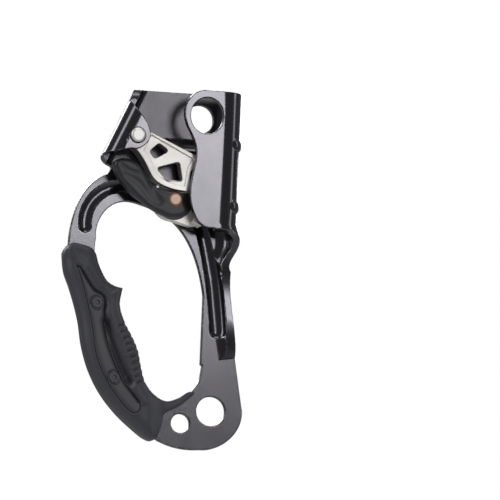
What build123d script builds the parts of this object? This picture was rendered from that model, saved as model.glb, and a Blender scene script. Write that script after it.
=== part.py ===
"""Hand ascender: a rope clamp with a handle, built up from its separate pieces.

Frame of the model, in millimetres: X to the right, Z up, Y away from the viewer who faces the cam.
The origin is the centre of the large lower hole, in the middle of the plate's thickness.
"""

import os
from math import cos, radians, sin

from build123d import *

# ---------------------------------------------------------------- driving dimensions
PLATE_T = 4.0  # thickness of the aluminium sheet
CHANNEL_GAP = 16.0  # clear width between the back plate and the folded flaps
BEND_IN = CHANNEL_GAP / 2  # inner radius of both folds
BEND_OUT = BEND_IN + PLATE_T
BACK_Y = PLATE_T / 2  # rear face of the back plate
FACE_Y = -PLATE_T / 2  # front face of the back plate
AXIS_Y = FACE_Y - BEND_IN  # both folds turn about this depth
FLAP_IN_Y = FACE_Y - CHANNEL_GAP  # rear face of the folded flaps
FLAP_OUT_Y = FLAP_IN_Y - PLATE_T  # front face of the folded flaps
TOP_Z = 167.5

CHANNEL_X = -4.5  # axis of the rope channel's fold
MOUTH_Z = 90.0  # where the channel's lower mouth flares most
MOUTH_FLARE = 2.4
EDGE_WALL_Z = 74.0  # where the mouth passes into the strut's low edge wall

CHEEK_TILT = 24.2  # lean of the cam-side fold from vertical, degrees
CHEEK_X, CHEEK_Z = -54.6, 126.4  # a point on that fold's axis

MAIN_HOLE_R = 7.75
SMALL_HOLE = (-16.1, -7.3)
SMALL_HOLE_R = 5.0
TOP_HOLE = (-12.6, 154.0)
TOP_HOLE_R = 7.5
RING_HOLE_RX, RING_HOLE_RZ = 8.8, 9.6

CAM_PIVOT = (-49.5, 141.3)
AXLE_R = 3.0
AXLE_HEAD_R = 3.9
SEAT_Y = -21.7  # spot face under the axle's head, cut into the cheek
RUNNING = 0.05  # radial clearance of a turning fit
BUSH_R = 4.2
CAM_FRONT_Y, CAM_REAR_Y = -16.4, -4.4
WEB_INSET = 1.5  # the cam's web lies this far inside its rim, front and back
LUG_FRONT_Y = -12.0  # the trigger turns in front of this face
LUG_R = 10.6

TRIGGER_PIVOT = (-26.9, 109.2)
TRIGGER_FRONT_Y = -17.6
TRIGGER_HUB_Y = -12.3  # rear face of the trigger's hub
TRIGGER_ARM_Y = -9.0  # rear face of its thumb lever
RIVET_R = 2.0
RIVET_HEAD_R = 2.6

GRIP_HALF = 10.0  # half the grip's thickness
PANEL_T = 1.6
UPPER_SCREW = (-64.8, 53.0)
LOWER_SCREW = (-54.0, 14.1)
SCREW_R = 1.7
SCREW_HEAD_R = 2.6

# Outlines seen from the front, as (x, z)
ARM_OUTER = [(-61.0, 122.0), (-70.7, 114.7), (-76.5, 104.3), (-79.5, 91.5), (-80.1, 83.0)]
CORE_OUTER = [(-80.1, 83.0), (-77.0, 66.0), (-69.5, 38.0), (-60.0, 13.0), (-43.0, -6.5), (-28.5, -16.8)]
BOTTOM_LEFT = [(-28.5, -16.8), (-17.0, -20.5), (-5.0, -20.7)]
BOTTOM_RIGHT = [(-5.0, -20.7), (8.0, -16.6), (16.0, -6.2), (16.3, 4.0)]
RIGHT_EDGE = [(16.3, 4.0), (12.5, 25.0), (9.2, 46.0), (7.5, 66.0)]
WINDOW_TOP = [(-65.5, 88.0), (-63.0, 99.8), (-57.5, 105.7), (-50.0, 108.1), (-42.5, 106.9),
              (-26.1, 100.0), (-17.1, 90.5), (-10.7, 77.5), (-6.7, 62.0)]
WINDOW_RIGHT = [(-6.7, 62.0), (-5.2, 45.0), (-5.2, 28.0), (-7.0, 15.0)]
WINDOW_LOW = [(-7.0, 15.0), (-12.5, 8.0), (-24.0, 0.5), (-34.0, 4.0), (-44.0, 18.0), (-56.0, 45.0),
              (-65.5, 75.0), (-65.5, 88.0)]
RIB_ARM = [(-71.8, 93.6), (-66.1, 110.1), (-52.0, 116.0)]
RIB_BEND = (-26.0, 108.0)
RIB_STRUT = [(-8.2, 93.0), (-2.4, 68.0), (1.0, 42.0)]


def front(y):
    """The drawing plane at depth y, seen from the front: a positive extrude comes towards the viewer."""
    return Plane.XZ.offset(-y)


def save(block, name):
    """Names a finished piece and writes its file."""
    block.part.label = name
    export_step(block.part, f"parts/{name}.step")


os.makedirs("parts", exist_ok=True)

# ---------------------------------------------------------------- frame: stiffening ribs, as tools
RIB_RISE = 1.2
RIB_HALF_R = 5.0
RIB_HEIGHTS = (139.9, 107.4)
RIB_LEFT_X = -30.0
RIB_WRAP = 130  # degrees that each channel rib runs round the fold


def channel_rib(z, radius, reach):
    """A half-round bar that follows the back plate and wraps round the channel's fold."""
    centre = reach - radius
    with BuildPart() as bar:
        with BuildSketch(Plane.YZ.offset(RIB_LEFT_X)):
            with Locations((AXIS_Y + centre, z)):
                Circle(radius)
        extrude(amount=CHANNEL_X - RIB_LEFT_X)
        with BuildSketch(Plane.YZ.offset(CHANNEL_X)):
            with Locations((AXIS_Y + centre, z)):
                Circle(radius)
        revolve(axis=Axis((CHANNEL_X, AXIS_Y, 0), (0, 0, -1)), revolution_arc=RIB_WRAP)
        with Locations((RIB_LEFT_X, AXIS_Y + centre, z)):
            Sphere(radius)
        turn = radians(RIB_WRAP)
        with Locations((CHANNEL_X + centre * sin(turn), AXIS_Y + centre * cos(turn), z)):
            Sphere(radius)
    return bar


def rib_set(radius, reach):
    """Both channel ribs in one block."""
    bars = [channel_rib(z, radius, reach) for z in RIB_HEIGHTS]
    with BuildPart() as both:
        for bar in bars:
            add(bar.part)
    return both


outer_ribs = rib_set(RIB_HALF_R, BEND_OUT + RIB_RISE)
with BuildPart() as rib_ridges:
    add(outer_ribs.part)
    with Locations((CHANNEL_X, AXIS_Y, TOP_Z / 2)):
        Cylinder(BEND_OUT - 2, TOP_Z, mode=Mode.SUBTRACT)
    with Locations((CHANNEL_X - 25, FLAP_OUT_Y, TOP_Z / 2)):
        Box(50, 2 * (BACK_Y - FLAP_OUT_Y) - 2, TOP_Z, mode=Mode.SUBTRACT)
rib_grooves = rib_set(RIB_HALF_R - 1, BEND_IN + RIB_RISE)

# The long rib pressed along the handle's arm and down the strut: a groove in front, a ridge behind.
ARM_RIB_R = 5.0
ARM_RIB_DEPTH = 1.3


def arm_rib(y):
    """A round bar along the arm's rib, centred at depth y."""
    with BuildPart() as bar:
        with BuildLine(front(y)) as route:
            arm = ThreePointArc(*RIB_ARM)
            strut = ThreePointArc(*RIB_STRUT)
            Spline(arm @ 1, RIB_BEND, strut @ 0, tangents=(arm % 1, strut % 0))
        path = route.wires()[0]
        with BuildSketch(Plane(origin=path @ 0, z_dir=path % 0)):
            Circle(ARM_RIB_R)
        sweep(path=path)
        for end in (path @ 0, path @ 1):
            with Locations((end.X, end.Y, end.Z)):
                Sphere(ARM_RIB_R)
    return bar


arm_groove = arm_rib(FACE_Y + ARM_RIB_DEPTH - ARM_RIB_R)
arm_bar = arm_rib(BACK_Y + ARM_RIB_DEPTH - ARM_RIB_R)
with BuildPart() as arm_ridge:
    add(arm_bar.part)
    with Locations((-35.0, -20.0, 80.0)):
        Box(150, 40, 200, mode=Mode.SUBTRACT)

# ---------------------------------------------------------------- frame: cam-side fold and cheek
tilt = radians(CHEEK_TILT)
cheek_axis = Plane(origin=(CHEEK_X, 0, CHEEK_Z), x_dir=(-cos(tilt), 0, sin(tilt)), z_dir=(sin(tilt), 0, cos(tilt)))
CHEEK_BOX = 44.0
CHEEK_BEND = 4.0  # inner radius of the cheek's two corners
with BuildPart() as cheek:
    with BuildSketch(cheek_axis.offset(-10)):
        with Locations((BEND_OUT - CHEEK_BOX / 2, -AXIS_Y)):
            RectangleRounded(CHEEK_BOX, 2 * BEND_OUT, CHEEK_BEND + PLATE_T)
            RectangleRounded(CHEEK_BOX - 2 * PLATE_T, 2 * BEND_IN, CHEEK_BEND, mode=Mode.SUBTRACT)
            Rectangle(CHEEK_BOX / 2 + 2, 2 * BEND_OUT, align=(Align.MIN, Align.CENTER), mode=Mode.INTERSECT)
    extrude(amount=75)
    # The cheek's free edge, in front of the fold's middle.
    with BuildSketch(front(AXIS_Y)):
        with Locations((-45, 145)):
            Rectangle(90, 100)
        with BuildLine():
            Spline((-53.1, 161.5), (-48.3, 153.3), (-43.6, 146.2), (-42.6, 141.0), (-44.6, 137.1), (-52.9, 134.2))
            Spline((-52.9, 134.2), (-60.1, 132.6), (-68.0, 131.2))
            Polyline((-68.0, 131.2), (-80, 131.2), (-80, 180), (-60, 180), (-53.1, 161.5))
        make_face(mode=Mode.SUBTRACT)
    extrude(amount=20, mode=Mode.SUBTRACT)
    # The lower end of the fold, behind its middle, where it meets the arm.
    with BuildSketch(front(BACK_Y + 1)):
        with BuildLine():
            Polyline((-60.0, 126.4), (-40, 118), (-40, 90), (-90, 90), (-90, 131.2), (-66.2, 131.2))
            Spline((-66.2, 131.2), (-64.4, 128.9), (-60.0, 126.4))
        make_face()
    extrude(amount=BACK_Y + 1 - AXIS_Y, mode=Mode.SUBTRACT)
    with Locations((-45, AXIS_Y, TOP_Z + 25)):
        Box(100, 60, 50, mode=Mode.SUBTRACT)
    # The top corner of the fold is rounded off behind its middle, down to where the free edge starts.
    with BuildSketch(Plane.YZ.offset(-70)):
        with BuildLine():
            Spline((-3.5, TOP_Z), (-7.0, 166.3), (-9.0, 164.2), (AXIS_Y, 161.0))
            Polyline((AXIS_Y, 161.0), (AXIS_Y - 20, 161.0), (AXIS_Y - 20, TOP_Z + 5), (-3.5, TOP_Z + 5), (-3.5, TOP_Z))
        make_face()
    extrude(amount=40, mode=Mode.SUBTRACT)

# ---------------------------------------------------------------- frame: rope channel
def u_section(z, shift):
    """The channel's section at one height, its fold moved sideways by shift."""
    x = CHANNEL_X + shift
    tail = CHANNEL_X - 2
    with BuildSketch(Plane.XY.offset(z)) as section:
        with BuildLine():
            Polyline((x, FLAP_IN_Y), (tail, FLAP_IN_Y), (tail, FLAP_OUT_Y), (x, FLAP_OUT_Y))
            ThreePointArc((x, FLAP_OUT_Y), (x + BEND_OUT, AXIS_Y), (x, BACK_Y))
            Polyline((x, BACK_Y), (tail, BACK_Y), (tail, FACE_Y), (x, FACE_Y))
            ThreePointArc((x, FACE_Y), (x + BEND_IN, AXIS_Y), (x, FLAP_IN_Y))
        make_face()
    return section.sketch


STRAIGHT_Z = MOUTH_Z + 8  # the channel is straight above this height
with BuildPart() as channel:
    add(u_section(STRAIGHT_Z, 0))
    extrude(amount=TOP_Z - STRAIGHT_Z)
mouth_sections = [
    u_section(STRAIGHT_Z, 0),
    u_section(MOUTH_Z + 4, 0.6 * MOUTH_FLARE),
    u_section(MOUTH_Z, MOUTH_FLARE),
    u_section(MOUTH_Z - 6, 0.6 * MOUTH_FLARE),
    u_section(EDGE_WALL_Z, 0.7),
]
# Below the mouth the fold follows the strut's right edge.
edge_sections = [u_section(EDGE_WALL_Z, 0.7), u_section(60.0, 1.6), u_section(46.0, 3.6), u_section(24.0, 7.9)]
with BuildPart() as mouth:
    loft(sections=mouth_sections)
with BuildPart() as edge_wall:
    loft(sections=edge_sections)
with BuildPart() as low_wall:
    add(mouth.part)
    add(edge_wall.part)
    # Seen from the side, the wall is cut away from the flap's foot down to the plate.
    with BuildSketch(Plane.YZ.offset(CHANNEL_X - 5)):
        with BuildLine():
            Spline((FLAP_OUT_Y - 1, 94.8), (-18.4, 93.4), (-13.0, 90.2), (-8.5, 85.0), (-5.6, 76.0), (-4.7, 60.0),
                   (FACE_Y, 27.0))
            Polyline((FACE_Y, 27.0), (FACE_Y, 10.0), (FLAP_OUT_Y - 1, 10.0), (FLAP_OUT_Y - 1, 94.8))
        make_face()
    extrude(amount=40, mode=Mode.SUBTRACT)

# ---------------------------------------------------------------- frame: ring flap in front of the rope
with BuildPart() as ring_flap:
    with BuildSketch(front(FLAP_IN_Y)):
        with BuildLine():
            Line((CHANNEL_X, TOP_Z), (-12.6, TOP_Z))
            Spline((-12.6, TOP_Z), (-20.3, 165.0), (-24.4, 158.0), (-23.6, 149.6), (-19.3, 141.1), (-17.6, 134.0),
                   (-18.6, 125.2), (-20.1, 113.5), (-19.4, 107.0), (-17.3, 101.4))
            ThreePointArc((-17.3, 101.4), (-14.0, 96.8), (-9.5, 94.8))
            Polyline((-9.5, 94.8), (CHANNEL_X, 94.8), (CHANNEL_X, TOP_Z))
        make_face()
    extrude(amount=PLATE_T)

# ---------------------------------------------------------------- frame: back plate with handle and strut
with BuildPart() as plate:
    with BuildSketch(front(BACK_Y)):
        with BuildLine():
            Polyline((-36.2, TOP_Z), (-54.6, 126.4), (-58.8, 126.4))
            ThreePointArc((-58.8, 126.4), (-59.6, 124.0), (-61.0, 122.0))
            Spline(*ARM_OUTER)
            Spline(*CORE_OUTER)
            Spline(*BOTTOM_LEFT)
            Spline(*BOTTOM_RIGHT)
            Spline(*RIGHT_EDGE)
            Polyline(RIGHT_EDGE[-1], (6.0, 76.0), (CHANNEL_X, 98.0), (CHANNEL_X, TOP_Z), (-36.2, TOP_Z))
        make_face()
        with BuildLine():
            Spline(*WINDOW_TOP)
            Spline(*WINDOW_RIGHT)
            Spline(*WINDOW_LOW)
        make_face(mode=Mode.SUBTRACT)
    extrude(amount=PLATE_T)

with BuildPart() as frame:
    for piece in (plate, cheek, channel, low_wall, ring_flap, rib_ridges, arm_ridge):
        add(piece.part)
    for tool in (rib_grooves, arm_groove):
        add(tool.part, mode=Mode.SUBTRACT)
    with BuildSketch(front(BACK_Y + 3)):
        Circle(MAIN_HOLE_R)
        with Locations(SMALL_HOLE):
            Circle(SMALL_HOLE_R)
        with Locations(TOP_HOLE):
            Circle(TOP_HOLE_R)
    extrude(amount=PLATE_T + 6, mode=Mode.SUBTRACT)
    with BuildSketch(front(FLAP_IN_Y + 1)):
        with Locations(TOP_HOLE):
            Ellipse(RING_HOLE_RX, RING_HOLE_RZ)
    extrude(amount=PLATE_T + 2, mode=Mode.SUBTRACT)
    with BuildSketch(front(BACK_Y + 3)):
        with Locations(CAM_PIVOT):
            Circle(AXLE_R)
        with Locations(UPPER_SCREW, LOWER_SCREW):
            Circle(SCREW_R)
    extrude(amount=BACK_Y + 3 - FLAP_OUT_Y + 1, mode=Mode.SUBTRACT)
    with BuildSketch(front(SEAT_Y)):
        with Locations(CAM_PIVOT):
            Circle(AXLE_HEAD_R + 0.1)
    extrude(amount=2, mode=Mode.SUBTRACT)
save(frame, "frame")

# ---------------------------------------------------------------- cam
TOOTH_TOP, TOOTH_MID, TOOTH_LOW = (-9.5, 130.0), (-7.4, 113.5), (-13.5, 96.5)
TOOTH_COUNT = 13
TOOTH_RISE = 1.5
TOOTH_BANDS = 4
FACE_W = CAM_REAR_Y - CAM_FRONT_Y
HUB_R = 5.6
CAM_RIM = [(-54.0, 138.2), (-48.6, 134.2), (-42.6, 126.0), (-38.6, 119.6), (-32.4, 115.9), (-20.4, 114.0)]
HUB_SIDE_Y = -9.0  # the spring sits in a round pocket behind this depth
SPRING_POCKET_R = 5.6


def cam_outline():
    """The cam's outer line, without the teeth and without the lug for the trigger."""
    with BuildSketch(front(0)) as outline:
        with BuildLine():
            Line((-47.0, 146.3), TOOTH_TOP)
            ThreePointArc(TOOTH_TOP, TOOTH_MID, TOOTH_LOW)
            Line(TOOTH_LOW, (-17.0, 98.4))
            Spline((-17.0, 98.4), (-12.6, 108.0), (-11.3, 118.0), (-12.4, 125.0))
            Spline((-12.4, 125.0), (-15.5, 127.6), (-18.4, 125.6), (-19.3, 119.0), (-20.4, 114.0))
            Spline(*reversed(CAM_RIM))
            Line(CAM_RIM[0], (-47.0, 146.3))
        make_face()
        with Locations(CAM_PIVOT):
            Circle(HUB_R)
    return outline.sketch


def cam_windows():
    """The two openings through the cam's web."""
    with BuildSketch(front(0)) as openings:
        with BuildLine():
            Polyline((-41.6, 134.0), (-36.6, 138.8), (-30.4, 134.8), (-38.6, 130.0), close=True)
        make_face()
        fillet(openings.vertices(), 1.6)
        with BuildSketch(front(0), mode=Mode.PRIVATE) as lower:
            with BuildLine():
                Polyline((-38.0, 125.4), (-25.0, 129.6), (-22.8, 119.0), (-31.0, 118.6), close=True)
            make_face()
            fillet(lower.vertices(), 1.6)
        add(lower.sketch)
    return openings.sketch


tooth_face = ThreePointArc(Vector(TOOTH_TOP[0], 0, TOOTH_TOP[1]), Vector(TOOTH_MID[0], 0, TOOTH_MID[1]),
                           Vector(TOOTH_LOW[0], 0, TOOTH_LOW[1]))


def tooth_points():
    """The saw line of the teeth: each leans down the rope, its root just inside the cam's face."""
    line = []
    for i in range(TOOTH_COUNT):
        root = tooth_face @ ((i + 0.1) / TOOTH_COUNT)
        tip = tooth_face @ ((i + 0.9) / TOOTH_COUNT)
        along = tooth_face % ((i + 0.9) / TOOTH_COUNT)
        line.append((root.X, root.Z))
        line.append((tip.X - TOOTH_RISE * along.Z, tip.Z + TOOTH_RISE * along.X))
    return line


def cam_recess():
    """The sunken field of the web, inside the flange, the rim and the hub."""
    with BuildSketch(front(0)) as field:
        with BuildLine():
            Line((-41.0, 142.6), (-17.0, 130.8))
            Spline((-17.0, 130.8), (-20.6, 126.6), (-21.3, 121.0), (-22.4, 116.6))
            Spline((-22.4, 116.6), (-30.2, 118.0), (-36.8, 122.0), (-40.6, 129.0), (-44.6, 134.0))
            Line((-44.6, 134.0), (-41.0, 142.6))
        make_face()
        with Locations(CAM_PIVOT):
            Circle(HUB_R, mode=Mode.SUBTRACT)
    return field.sketch


with BuildPart() as cam:
    with BuildSketch(front(CAM_REAR_Y)):
        add(cam_outline())
        add(cam_windows(), mode=Mode.SUBTRACT)
    extrude(amount=FACE_W)
    for near, far in ((CAM_FRONT_Y - 1, CAM_FRONT_Y + WEB_INSET), (CAM_REAR_Y - WEB_INSET, CAM_REAR_Y + 1)):
        with BuildSketch(front(far)):
            add(cam_recess())
        extrude(amount=far - near, mode=Mode.SUBTRACT)
    # The lug that carries the trigger, behind the trigger's hub.
    with BuildSketch(front(CAM_REAR_Y)):
        with Locations(TRIGGER_PIVOT):
            Circle(LUG_R)
        with BuildLine():
            Polyline((-37.5, 111.0), (-36.0, 118.2), (-28.0, 116.0), (-20.4, 115.0), (-13.5, 103.0), (-13.5, 96.5),
                     (-17.4, 96.0), (-26.9, 98.4), close=True)
        make_face()
    extrude(amount=CAM_REAR_Y - LUG_FRONT_Y)
    # Teeth, in bands across the face.
    teeth = tooth_points()
    band = FACE_W / TOOTH_BANDS
    for i in range(TOOTH_BANDS):
        with BuildSketch(front(CAM_REAR_Y - (i + 0.14) * band)):
            with BuildLine():
                Polyline((-11.6, 129.0), *teeth, (-15.0, 97.5), (-9.6, 113.5), close=True)
            make_face()
        extrude(amount=0.72 * band)
    # Bore for the bush, pocket for the spring, bore for the rivet and its rear seat.
    with BuildSketch(front(0)):
        with Locations(CAM_PIVOT):
            Circle(BUSH_R)
        with Locations(TRIGGER_PIVOT):
            Circle(RIVET_R)
    extrude(amount=20, mode=Mode.SUBTRACT)
    with BuildSketch(front(0)):
        with Locations(CAM_PIVOT):
            Circle(SPRING_POCKET_R)
        with Locations(TRIGGER_PIVOT):
            Circle(3.3)
    extrude(amount=5.4, mode=Mode.SUBTRACT)
    with BuildSketch(front(0)):
        with Locations(CAM_PIVOT):
            Circle(SPRING_POCKET_R)
    extrude(amount=-HUB_SIDE_Y, mode=Mode.SUBTRACT)
save(cam, "cam")


def turned(centre, sections):
    """A turned piece on an axis along Y: each section is (radius, front depth, rear depth)."""
    with BuildPart() as piece:
        for radius, near, far in sections:
            with BuildSketch(front(far)):
                with Locations(centre):
                    Circle(radius)
            extrude(amount=far - near)
    return piece


def ring(centre, inner, outer, near, far):
    """A washer or bush on an axis along Y."""
    with BuildPart() as piece:
        with BuildSketch(front(far)):
            with Locations(centre):
                Circle(outer)
                Circle(inner, mode=Mode.SUBTRACT)
        extrude(amount=far - near)
    return piece


def coil(centre, radius, wire, pitch, turns, near, leg):
    """A torsion spring on an axis along Y, with one straight leg in the coil's last plane."""
    x, z = centre
    with BuildPart() as piece:
        with BuildLine():
            route = Helix(pitch, pitch * turns, radius, center=(x, near, z), direction=(0, 1, 0))
        with BuildSketch(Plane(origin=route @ 0, z_dir=route % 0)):
            Circle(wire)
        sweep(path=route)
        with BuildSketch(Plane(origin=route @ 1, z_dir=route % 1)):
            Circle(wire)
        extrude(amount=leg)
    return piece


axle = turned(CAM_PIVOT, [(AXLE_HEAD_R, SEAT_Y - 2.6, SEAT_Y), (AXLE_R, SEAT_Y, BACK_Y), (4.4, BACK_Y, BACK_Y + 1.6)])
with BuildPart() as cam_axle:
    add(axle.part)
    dome = cam_axle.edges().filter_by(GeomType.CIRCLE).sort_by(Axis.Y)[0]
    fillet(dome, 1.2)
    fillet(cam_axle.edges().filter_by(GeomType.CIRCLE).sort_by(Axis.Y)[-1], 1.0)
save(cam_axle, "cam_axle")

cam_bush = ring(CAM_PIVOT, AXLE_R + RUNNING, BUSH_R, CAM_FRONT_Y, -3.2)
save(cam_bush, "cam_bush")
front_washer = ring(CAM_PIVOT, AXLE_R + RUNNING, BUSH_R, -17.5, CAM_FRONT_Y - 0.2)
save(front_washer, "cam_front_washer")
rear_washer = ring(CAM_PIVOT, AXLE_R + RUNNING, BUSH_R, -2.9, -2.3)
save(rear_washer, "cam_rear_washer")
cam_spring = coil(CAM_PIVOT, 4.85, 0.45, 1.3, 2.75, -8.3, 3.0)
save(cam_spring, "cam_spring")

# ---------------------------------------------------------------- trigger
TRIGGER_LOW = [(-60.5, 125.4), (-58.3, 120.3), (-50.4, 111.3), (-42.0, 104.8), (-34.0, 100.9)]
TRIGGER_HIGH = [(-52.2, 129.2), (-47.4, 126.9), (-43.9, 122.6), (-40.0, 117.4), (-34.2, 113.9), (-28.4, 112.9)]
HUB_TOP_R = 4.6
TRIGGER_HUB_R = 10.3
with BuildPart() as trigger:
    with BuildSketch(front(TRIGGER_HUB_Y)):
        with BuildLine():
            Spline(*TRIGGER_LOW)
            Line(TRIGGER_LOW[-1], TRIGGER_PIVOT)
            Line(TRIGGER_PIVOT, TRIGGER_HIGH[-1])
            Spline(*reversed(TRIGGER_HIGH))
            Spline(TRIGGER_HIGH[0], (-56.6, 129.2), (-59.8, 127.6), TRIGGER_LOW[0])
        make_face()
        # The hub is full below the pivot and slim above it, where the cam's rim passes.
        with Locations(TRIGGER_PIVOT):
            Circle(HUB_TOP_R)
        with BuildLine():
            x, z = TRIGGER_PIVOT
            ThreePointArc((x - 9.9, z - 2.8), (x - 2.0, z - 10.1), (x + 7.6, z - 6.9))
            Polyline((x + 7.6, z - 6.9), (x + 4.6, z), (x - 9.9, z - 2.8))
        make_face()
    extrude(amount=TRIGGER_HUB_Y - TRIGGER_FRONT_Y)
    # The thumb lever is thicker, clear of the cam's lug.
    with BuildSketch(front(TRIGGER_ARM_Y)):
        with BuildLine():
            Spline(*TRIGGER_LOW[:3])
            Line(TRIGGER_LOW[2], (-43.5, 118.0))
            Line((-43.5, 118.0), TRIGGER_HIGH[1])
            Line(TRIGGER_HIGH[1], TRIGGER_HIGH[0])
            Spline(TRIGGER_HIGH[0], (-56.6, 129.2), (-59.8, 127.6), TRIGGER_LOW[0])
        make_face()
    extrude(amount=TRIGGER_ARM_Y - TRIGGER_HUB_Y)
    with BuildSketch(front(0)):
        with Locations(TRIGGER_PIVOT):
            Circle(RIVET_R + RUNNING)
    extrude(amount=30, mode=Mode.SUBTRACT)
    with BuildSketch(front(TRIGGER_FRONT_Y + 0.6)):
        with Locations(TRIGGER_PIVOT):
            Circle(3.5)
    extrude(amount=2, mode=Mode.SUBTRACT)
    with BuildSketch(front(TRIGGER_HUB_Y)):
        with Locations(TRIGGER_PIVOT):
            Circle(4.0)
    extrude(amount=2.6, mode=Mode.SUBTRACT)
save(trigger, "trigger")

rivet = turned(TRIGGER_PIVOT, [
    (RIVET_HEAD_R, TRIGGER_FRONT_Y - 0.1, TRIGGER_FRONT_Y + 0.4),
    (RIVET_R, TRIGGER_FRONT_Y + 0.4, -5.4),
    (3.2, -5.4, CAM_REAR_Y),
])
save(rivet, "trigger_rivet")
trigger_washer = ring(TRIGGER_PIVOT, RIVET_HEAD_R + 0.05, 3.45, TRIGGER_FRONT_Y + 0.1, TRIGGER_FRONT_Y + 0.6)
save(trigger_washer, "trigger_washer")
# A thin nylon plate covers the lug up to the cam's rim, and the trigger's hub slides on it.
with BuildPart() as trigger_shim:
    with BuildSketch(front(LUG_FRONT_Y)):
        with Locations(TRIGGER_PIVOT):
            Circle(LUG_R - 0.2)
            Circle(RIVET_R + RUNNING, mode=Mode.SUBTRACT)
        with BuildLine():
            Polyline((-45, 120.0), (-38.4, 118.2), (-32.6, 115.2), (-26.5, 114.0), (-20.6, 113.2), (-10, 113.2),
                     (-10, 130), (-45, 130), close=True)
        make_face(mode=Mode.SUBTRACT)
    extrude(amount=LUG_FRONT_Y - TRIGGER_HUB_Y - 0.02)
save(trigger_shim, "trigger_shim")
trigger_spring = coil(TRIGGER_PIVOT, 3.3, 0.35, 0.85, 2.25, -14.6, 0.4)
save(trigger_spring, "trigger_spring")

# ---------------------------------------------------------------- grip
GRIP_OUTER = [(-79.5, 83.6), (-82.6, 78.5), (-80.5, 66.0), (-75.0, 51.4), (-70.6, 31.0), (-63.4, 12.0),
              (-51.1, -3.7), (-37.3, -14.9), (-31.2, -17.7), (-28.2, -15.2)]
GRIP_END = [(-28.2, -15.2), (-26.0, -8.0), (-25.0, -3.0), (-18.0, 1.0), (-8.8, 9.2)]
GRIP_INNER_LOW = [(-8.8, 9.2), (-12.0, 9.9), (-17.5, 6.0), (-24.5, 3.8), (-32.4, 8.2), (-37.4, 17.0), (-42.0, 33.0),
                  (-49.4, 46.0), (-51.7, 54.0), (-50.0, 62.3)]
GRIP_INNER_TOP = [(-50.0, 62.3), (-55.5, 63.4), (-60.8, 68.0), (-64.0, 75.0), (-66.0, 79.0)]
PANEL_RIGHT = [(-75.8, 71.6), (-71.2, 66.5), (-66.5, 60.0), (-60.4, 56.2), (-60.3, 48.0), (-57.6, 32.0), (-49.5, 14.0),
               (-39.2, 1.5)]
PANEL_LEFT = [(-39.2, 1.5), (-43.0, -4.2), (-54.0, 7.0), (-63.0, 23.0), (-67.0, 42.0), (-71.4, 58.2), (-75.8, 71.6)]
PANEL_FACE = GRIP_HALF - 0.2


def grip_shell(side):
    """One half of the grip: side is -1 in front of the plate and +1 behind it."""
    with BuildPart() as shell:
        with BuildSketch(front(0)):
            with BuildLine():
                Spline(*GRIP_OUTER)
                Spline(*GRIP_END)
                Spline(*GRIP_INNER_LOW)
                Spline(*GRIP_INNER_TOP)
                Polyline(GRIP_INNER_TOP[-1], (-68.3, 79.2), (-68.6, 82.2), GRIP_OUTER[0])
            make_face()
        extrude(amount=-side * GRIP_HALF)
        # Seat for the plate's core.
        with BuildSketch(front(side * BACK_Y)):
            with BuildLine():
                Spline(*CORE_OUTER)
                Spline(*BOTTOM_LEFT)
                Line(BOTTOM_LEFT[-1], (20.0, -20.7))
                Line((20.0, -20.7), (20.0, 62.0))
                Line((20.0, 62.0), WINDOW_RIGHT[0])
                Spline(*WINDOW_RIGHT)
                Spline(*WINDOW_LOW)
                Polyline(WINDOW_LOW[-1], (-64.0, 100.0), (-80.1, 100.0), CORE_OUTER[0])
            make_face()
        extrude(amount=side * BACK_Y, mode=Mode.SUBTRACT)
        # Recess for the panel, and bores for the screws.
        with BuildSketch(front(side * (PANEL_FACE - PANEL_T))):
            with BuildLine():
                Spline(*PANEL_RIGHT)
                Spline(*PANEL_LEFT)
            make_face()
        extrude(amount=-side * (PANEL_T + 1), mode=Mode.SUBTRACT)
        with BuildSketch(front(0)):
            with Locations(UPPER_SCREW, LOWER_SCREW):
                Circle(SCREW_R)
        extrude(amount=-side * GRIP_HALF, mode=Mode.SUBTRACT)
    return shell


def grip_panel(side):
    """The hard inlay of one half, with seats for a screw head or a nut."""
    with BuildPart() as panel:
        with BuildSketch(front(side * (PANEL_FACE - PANEL_T))):
            with BuildLine():
                Spline(*PANEL_RIGHT)
                Spline(*PANEL_LEFT)
            make_face()
        extrude(amount=-side * PANEL_T)
        with BuildSketch(front(0)):
            with Locations(UPPER_SCREW, LOWER_SCREW):
                Circle(SCREW_HEAD_R + RUNNING)
        extrude(amount=-side * (GRIP_HALF + 2), mode=Mode.SUBTRACT)
    return panel


for name, side in (("front", -1), ("rear", 1)):
    save(grip_shell(side), f"grip_{name}_shell")
    save(grip_panel(side), f"grip_{name}_panel")

HEAD_SEAT = PANEL_FACE - PANEL_T  # depth of the face under the screw heads and nuts
for name, place in (("upper", UPPER_SCREW), ("lower", LOWER_SCREW)):
    screw = turned(place, [(SCREW_HEAD_R, -PANEL_FACE, -HEAD_SEAT), (SCREW_R, -HEAD_SEAT, HEAD_SEAT)])
    with BuildPart() as socket_screw:
        add(screw.part)
        with BuildSketch(front(-PANEL_FACE + 0.9)):
            with Locations(place):
                RegularPolygon(1.4, 6)
        extrude(amount=2, mode=Mode.SUBTRACT)
    save(socket_screw, f"{name}_grip_screw")
    nut = ring(place, SCREW_R, SCREW_HEAD_R, HEAD_SEAT, PANEL_FACE)
    save(nut, f"{name}_grip_nut")
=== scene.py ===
"""Hand ascender: every visible piece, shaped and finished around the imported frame.

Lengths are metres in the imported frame: X to the right, Z up along the rope, Y away from the viewer who
faces the cam. Outlines are written in millimetres as (x, z) and scaled by MM.
"""
import logging
from dataclasses import dataclass, field
from enum import Enum
from math import cos, pi, radians, sin, sqrt
from typing import Any, Callable, Sequence

import bmesh
import bpy
import numpy as np
from mathutils import Matrix, Vector


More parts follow.
